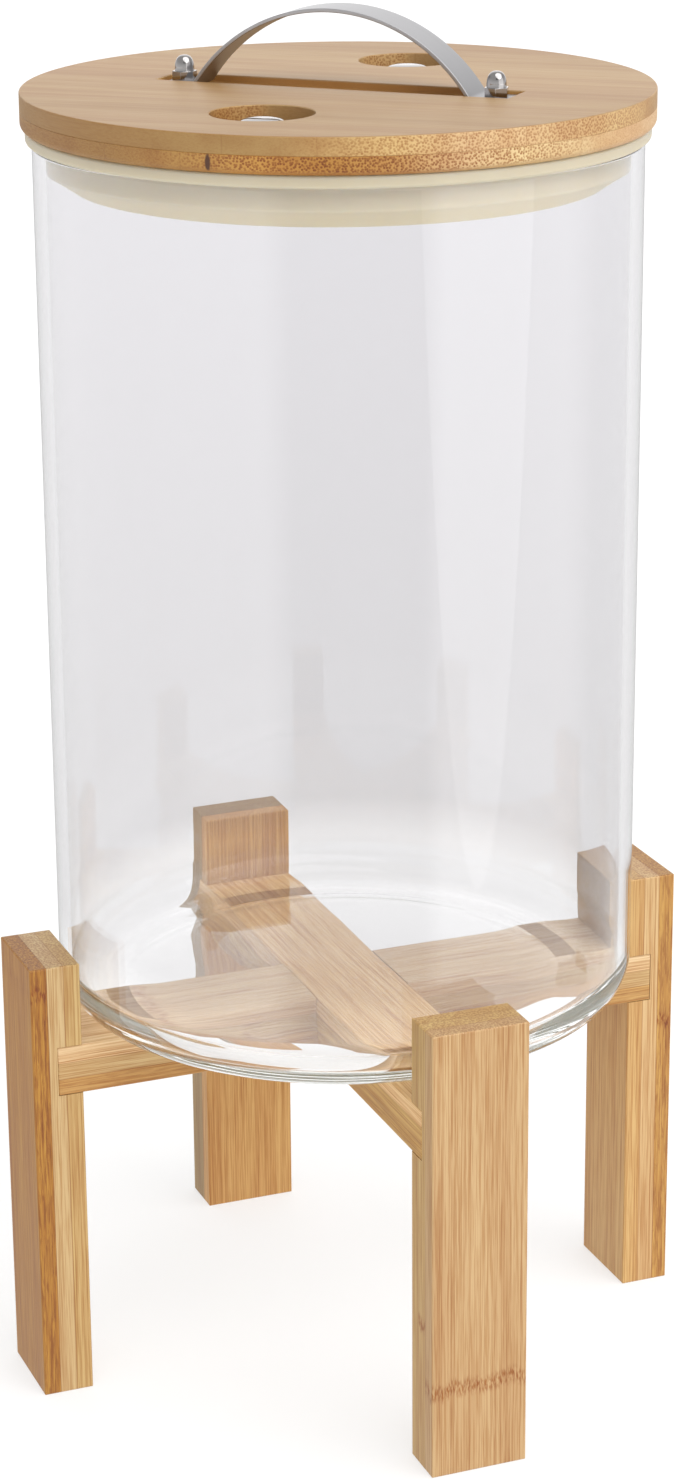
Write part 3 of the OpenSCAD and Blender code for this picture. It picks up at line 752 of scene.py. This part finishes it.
# The lower ply's strips run from dark at -X to pale at +X and are blended smoothly: partly the strips' own
# tones, partly painted sheen of the light from that side
LOWER_STRIPS_AND_SHEEN = ["#AA8445", "#A58045", "#B58C49", "#BD8B3F", "#B17F35",
                "#B58645", "#CAA778", "#D7BE8C", "#D8C194", "#DFC59D"]
FACE_STRIPS = ["#B48F5F", "#BA9766", "#B69462", "#B99563", "#BD9B68",
               "#B79160", "#C09C6A", "#C2A06E", "#BD9A68", "#B99563"]
VENEER = (FACE_GRAIN - UPPER_GRAIN, FACE_STRIPS)
ply_r = upper_ply.dimensions.x / 2 / MM
boards = []
for name, grain_turn, strips, lines, dots, end_colour, veneer in (
        ("upper_ply", UPPER_GRAIN, UPPER_STRIPS, 0.14, 0.52, "#E0DEDD", VENEER),
        ("lower_ply", LOWER_GRAIN, LOWER_STRIPS_AND_SHEEN, 0.3, 0.78, "#F0E6DC", None)):
    along = Vector((math.cos(grain_turn), math.sin(grain_turn), 0))
    boards.append(bamboo("lacquered_bamboo_" + name, along, UP.cross(along), -ply_r, 2 * ply_r / len(strips),
                         strips, [NO_KNOT] * len(strips), lines=lines, dots=dots, glue=0.25,
                         end_colour=end_colour, end_tone=(1, 0), blend="LINEAR", veneer=veneer))

# The groove's own walls and floor, browner where the cutter warmed them, and painted shade on the front
# well's wall, which darkens the recess
MILLED_BROWN = "#B9843F"
MILLED_SHARE = 0.75
MILLED_FROM = (0.2 * MM, 0.5 * MM)      # below the lid's top
GROOVE_MARGIN = 1.01
WELL_PAINTED_SHADE = "#E8D6C5"
WELL_MARGIN = 0.5 * MM
LEVEL = Vector((1, 1, 0))
tree, socket, colour, place = reopen(boards[0])
height = add_node(tree, "SeparateXYZ", {0: place}).outputs[2]
sunk = add_node(tree, "MapRange", {"Value": height, "From Min": lid_top - MILLED_FROM[0],
                "From Max": lid_top - MILLED_FROM[1], "To Max": MILLED_SHARE}).outputs[0]
reach = []
for axis, half in ((LID_WAY, GROOVE_HALF), (UP.cross(LID_WAY), GROOVE_WIDTH / 2)):
    far = add_node(tree, "VectorMath", {0: place, 1: axis / half}, operation="DOT_PRODUCT").outputs["Value"]
    reach.append(add_node(tree, "Math", {0: far}, operation="ABSOLUTE").outputs[0])
reach = add_node(tree, "Math", {0: reach[0], 1: reach[1]}, operation="MAXIMUM").outputs[0]
in_groove = add_node(tree, "Math", {0: reach, 1: GROOVE_MARGIN}, operation="LESS_THAN").outputs[0]
away = add_node(tree, "VectorMath", {0: place, 1: LEVEL}, operation="MULTIPLY").outputs[0]
away = add_node(tree, "VectorMath", {0: away, 1: middle("well_stud_front") * LEVEL},
                operation="DISTANCE").outputs["Value"]
well_shade_part = add_node(tree, "Math", {0: away, 1: WELL_R + WELL_MARGIN}, operation="LESS_THAN").outputs[0]
for where, brown_and_shade, blend in ((in_groove, MILLED_BROWN, "MIX"), (well_shade_part, WELL_PAINTED_SHADE, "MULTIPLY")):
    part = add_node(tree, "Math", {0: where, 1: sunk}, operation="MULTIPLY").outputs[0]
    colour = add_node(tree, "Mix", {0: part, 6: colour, 7: linear(brown_and_shade)}, data_type="RGBA",
                      blend_type=blend).outputs[2]
tree.links.new(colour, socket)

# A dark fleck in the rim of the lower ply, where a bundle of fibre was bruised
MARK_TURN = math.radians(-133.7)
MARK_UP = 0.2 * MM
MARK_HALF = 0.9 * MM
MARK_TALL = 3.2              # times as tall as it is wide
MARK_BROWN = "#4A2810"
MARK_EDGE = (1.15, 0.7)      # in half widths
tree, socket, wood_colour, place = reopen(boards[1])
mark = Vector((math.cos(MARK_TURN), math.sin(MARK_TURN), 0)) * ply_r * MM
mark += UP * (middle("lid_lower_ply").z + MARK_UP)
apart = add_node(tree, "VectorMath", {0: place, 1: mark}, operation="SUBTRACT").outputs[0]
apart = add_node(tree, "VectorMath", {0: apart, 1: Vector((1, 1, 1 / MARK_TALL)) / MARK_HALF},
                 operation="MULTIPLY").outputs[0]
apart = add_node(tree, "VectorMath", {0: apart}, operation="LENGTH").outputs["Value"]
in_mark = add_node(tree, "MapRange", {"Value": apart, "From Min": MARK_EDGE[0],
                   "From Max": MARK_EDGE[1]}).outputs[0]
marked = add_node(tree, "Mix", {0: in_mark, 6: wood_colour, 7: linear(MARK_BROWN)},
                  data_type="RGBA").outputs[2]
tree.links.new(marked, socket)
finish_piece(upper_ply, "bamboo_upper_ply", boards[0], "lid", "lid_upper_ply", smooth=40)
finish_piece(lower_ply, "bamboo_lower_ply", boards[1], "lid", "lid_lower_ply", smooth=40)


# ---------------------------------------------------------------------------------------------
# The studs in the wells. Turned from stainless bar, the head domed and polished, and its shank
# pushed through the seal's web and spread below it.

SMALL_AROUND = 64
STUD_HEAD_R = 7.5 * MM
STUD_CROWN = 3 * MM
STUD_SHANK_R = 2.5 * MM
STUD_TAIL_R = 5 * MM
STUD_TAIL = 1.5 * MM
STUD_FULLNESS = 3
CROWN_RINGS = 12


def crown_face(radius, rise, fullness):
    """In edit mode, raises the selected round face into a crown, ring by ring. A fullness of 2 makes
    it an ellipse, and more leaves the top flatter and the shoulder rounder."""
    last_r, last_z = radius, 0
    for ring in range(1, CROWN_RINGS):
        share = math.sin(math.pi / 2 * (1 - ring / CROWN_RINGS))
        next_r, next_z = radius * share, rise * (1 - share ** fullness) ** (1 / fullness)
        bpy.ops.mesh.inset(thickness=last_r - next_r, depth=next_z - last_z)
        last_r, last_z = next_r, next_z
    bpy.ops.mesh.poke(offset=rise - last_z)


# Stainless steel, mirror polished, dulled here and there by the smears of handling
SMEAR = 1.5 * MM
polished, tree, surface = new_material("polished_stainless_steel", {
    "Base Color": linear("#A5A2A1"), "Metallic": 1})
place = add_node(tree, "TexCoord").outputs["Object"]
smear = add_node(tree, "TexNoise", {"Vector": place, "Scale": 1 / SMEAR, "Detail": 3.0}).outputs["Fac"]
rough = add_node(tree, "MapRange", {"Value": smear, "To Min": 0.05, "To Max": 0.17}).outputs[0]
tree.links.new(rough, surface.inputs["Roughness"])
for end in ("front", "back"):
    node = "well_stud_" + end
    crown_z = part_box(node)[1].z - STUD_CROWN
    stud = add_disc(STUD_HEAD_R, seal_high.z, crown_z, SMALL_AROUND)
    pick("FACE", flat_at(crown_z, 1))
    crown_face(STUD_HEAD_R, STUD_CROWN, STUD_FULLNESS)
    pick("FACE", flat_at(seal_high.z, -1))
    bpy.ops.mesh.inset(thickness=STUD_HEAD_R - STUD_SHANK_R)
    draw_out(0, -FLANGE)
    bpy.ops.mesh.inset(thickness=STUD_SHANK_R - STUD_TAIL_R)
    draw_out(0, -STUD_TAIL)
    bpy.ops.object.mode_set(mode="OBJECT")
    stud.location = middle(node) * LEVEL
    finish_piece(stud, "polished_stud_" + end, polished, "lid", node, smooth=40)


# ---------------------------------------------------------------------------------------------
# The handle. A strip of stainless steel, 15 x 1.2 mm, brushed along its length, rolled to an
# arch and turned out at each end into a flat foot, which lies in the groove under its nut.

STRAP_WIDTH = 15 * MM
STRAP = 1.2 * MM
STRAP_EASE = 0.22 * MM
ARCH_RISE = 24.58 * MM
ARCH_HALF_SPAN = 46.5 * MM
BEND_R = 2.5 * MM
FOOT_END = 57.98 * MM

arch_r = (ARCH_HALF_SPAN ** 2 + ARCH_RISE ** 2) / (2 * ARCH_RISE)
arch_z = lid_top + ARCH_RISE - arch_r
groove_z = lid_top - GROOVE_DEPTH
bend_z = groove_z + STRAP + BEND_R
bend_angle = math.asin((bend_z - arch_z) / (arch_r + BEND_R))
bend_x = (arch_r + BEND_R) * math.cos(bend_angle)

bpy.ops.mesh.primitive_plane_add(size=1, location=(0, 0, arch_z + arch_r - STRAP / 2),
                                 rotation=(0, math.pi / 2, 0))
strap = bpy.context.object
strap.scale = (STRAP, STRAP_WIDTH, 1)
bpy.ops.object.transform_apply(location=True, rotation=True, scale=True)
start_editing(strap)
bpy.ops.mesh.select_mode(type="VERT")
bpy.ops.mesh.select_all(action="SELECT")
bpy.ops.mesh.bevel(offset=STRAP_EASE, segments=3, affect="VERTICES")
bpy.ops.mesh.select_all(action="SELECT")
bpy.ops.mesh.spin(steps=48, angle=math.pi / 2 - bend_angle, center=(0, 0, arch_z), axis=(0, -1, 0))
bpy.ops.mesh.spin(steps=12, angle=math.pi / 2 - bend_angle, center=(bend_x, 0, bend_z), axis=(0, 1, 0))
draw_out(FOOT_END - bend_x, 0)
pick("FACE", lambda corners, normal: all(abs(c.x) < NEAR for c in corners))
bpy.ops.mesh.delete(type="FACE")
bpy.ops.object.mode_set(mode="OBJECT")
modify(strap, "MIRROR", use_axis=(True, False, False), use_clip=True, merge_threshold=NEAR)
start_editing(strap)
bpy.ops.mesh.select_all(action="SELECT")
bpy.ops.mesh.normals_make_consistent(inside=False)
bpy.ops.object.mode_set(mode="OBJECT")
strap.rotation_euler = (0, 0, LID_TURN)
bpy.ops.object.transform_apply(rotation=True)
for side in ("left", "right"):
    centre = middle("washer_" + side)
    bpy.ops.mesh.primitive_cylinder_add(vertices=HOLE_AROUND, radius=SCREW_HOLE_R, depth=10 * STRAP,
                                        location=(centre.x, centre.y, groove_z))
    cut(strap, bpy.context.object)

# Stainless steel, brushed lengthwise with a belt, so that it shines in soft streaks. Real strokes
# are finer, and these are as coarse as they need to be to show
BRUSH_WIDTH = 0.35 * MM
BRUSH_LENGTH = 22 * MM
brushed, tree, surface = new_material("brushed_stainless_steel", {
    "Base Color": linear("#A9A8AA"), "Metallic": 1})
place = add_node(tree, "TexCoord").outputs["Object"]
over = add_node(tree, "VectorMath", {0: place, 1: UP.cross(LID_WAY) / BRUSH_WIDTH},
                operation="DOT_PRODUCT").outputs["Value"]
length = add_node(tree, "VectorMath", {0: place, 1: LID_WAY / BRUSH_LENGTH},
                  operation="DOT_PRODUCT").outputs["Value"]
stroke = add_node(tree, "CombineXYZ", {"X": over, "Y": length}).outputs[0]
brush = add_node(tree, "TexNoise", {"Vector": stroke, "Scale": 1.0, "Detail": 4.0,
                 "Roughness": 0.7}).outputs["Fac"]
rough = add_node(tree, "MapRange", {"Value": brush, "To Min": 0.28, "To Max": 0.5}).outputs[0]
tree.links.new(rough, surface.inputs["Roughness"])
bump = add_node(tree, "Bump", {"Height": brush, "Strength": 0.25, "Distance": 0.02 * MM})
tree.links.new(bump.outputs["Normal"], surface.inputs["Normal"])
finish_piece(strap, "brushed_strap", brushed, "lid", "handle_strap", smooth=35)


# ---------------------------------------------------------------------------------------------
# The cap nuts. Polished stainless M4 nuts, 7 mm across their flats, pressed with a domed cap
# that hides the screw's end. Their corners are turned off where the hexagon meets the dome.

NUT_CORNER_R = 7 / math.sqrt(3) * MM
NUT_HEX = 3.2 * MM
NUT_CONE = 2.4 * NUT_CORNER_R           # radius and height of the cone that the corners are turned to
NUT_CONE_DOWN = 3.5 * MM                # from the hexagon's top to the cone's foot
NUT_EASE = 0.12 * MM
CAP_R = 3.15 * MM
CAP_IN = 2.2 * MM                       # how deep the cap starts inside the hexagon
CAP_FULLNESS = 2.6
NUT_TURNS = {"left": math.radians(-25), "right": math.radians(-16)}

for side, turn in NUT_TURNS.items():
    node = "cap_nut_" + side
    low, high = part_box(node)
    hex_top = low.z + NUT_HEX
    bpy.ops.mesh.primitive_cylinder_add(vertices=6, radius=NUT_CORNER_R, depth=NUT_HEX,
                                        location=(0, 0, low.z + NUT_HEX / 2), rotation=(0, 0, math.pi / 6))
    nut = bpy.context.object
    bpy.ops.object.transform_apply(location=True, rotation=True)
    bpy.ops.mesh.primitive_cone_add(vertices=96, radius1=NUT_CONE, radius2=0, depth=NUT_CONE,
                                    location=(0, 0, hex_top - NUT_CONE_DOWN + NUT_CONE / 2))
    cone = bpy.context.object
    modify(nut, "BOOLEAN", object=cone, operation="INTERSECT", solver="EXACT")
    bpy.data.objects.remove(cone)
    cap = add_disc(CAP_R, hex_top - CAP_IN, hex_top, SMALL_AROUND)
    pick("FACE", flat_at(hex_top, 1))
    crown_face(CAP_R, high.z - hex_top, CAP_FULLNESS)
    bpy.ops.object.mode_set(mode="OBJECT")
    modify(nut, "BOOLEAN", object=cap, operation="UNION", solver="EXACT")
    bpy.data.objects.remove(cap)
    modify(nut, "BEVEL", limit_method="ANGLE", angle_limit=math.radians(25), width=NUT_EASE, segments=2)
    nut.rotation_euler = (0, 0, LID_TURN + turn)
    nut.location = middle(node) * LEVEL
    finish_piece(nut, "polished_cap_nut_" + side, polished, "lid", node, smooth=30)


# ---------------------------------------------------------------------------------------------
# The screws and washers. Zinc-plated M4 pan heads with a cross recess, each over a plain washer,
# driven up from inside the plug through the seal, both plies and the strap into its cap nut.

# Steel plated with bright zinc, a cool grey with a faint bloom. Its crystals are finer, and are drawn
# as coarse as they need to be to show
ZINC_GREY = "#BFC3C9"
SPANGLE = 0.9 * MM
SPANGLE_SHARE = 0.12
BLOOM = 0.8 * MM
zinc, tree, surface = new_material("bright_zinc_plated_steel", {"Metallic": 1})
place = add_node(tree, "TexCoord").outputs["Object"]
spangle = add_node(tree, "TexVoronoi", {"Vector": place, "Scale": 1 / SPANGLE}).outputs["Color"]
bloom = add_node(tree, "Mix", {0: SPANGLE_SHARE, 6: linear(ZINC_GREY), 7: spangle},
                 data_type="RGBA").outputs[2]
tree.links.new(bloom, surface.inputs["Base Color"])
dull = add_node(tree, "TexNoise", {"Vector": place, "Scale": 1 / BLOOM, "Detail": 3.0}).outputs["Fac"]
rough = add_node(tree, "MapRange", {"Value": dull, "To Min": 0.22, "To Max": 0.42}).outputs[0]
tree.links.new(rough, surface.inputs["Roughness"])
for kind in ("handle_screw_", "washer_"):
    for side in ("left", "right"):
        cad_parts[kind + side].material_slots[0].material = zinc


# ---------------------------------------------------------------------------------------------
# The end. The corners of the dressed model are found, in metres, as those of the CAD model were at the start.

low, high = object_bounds()
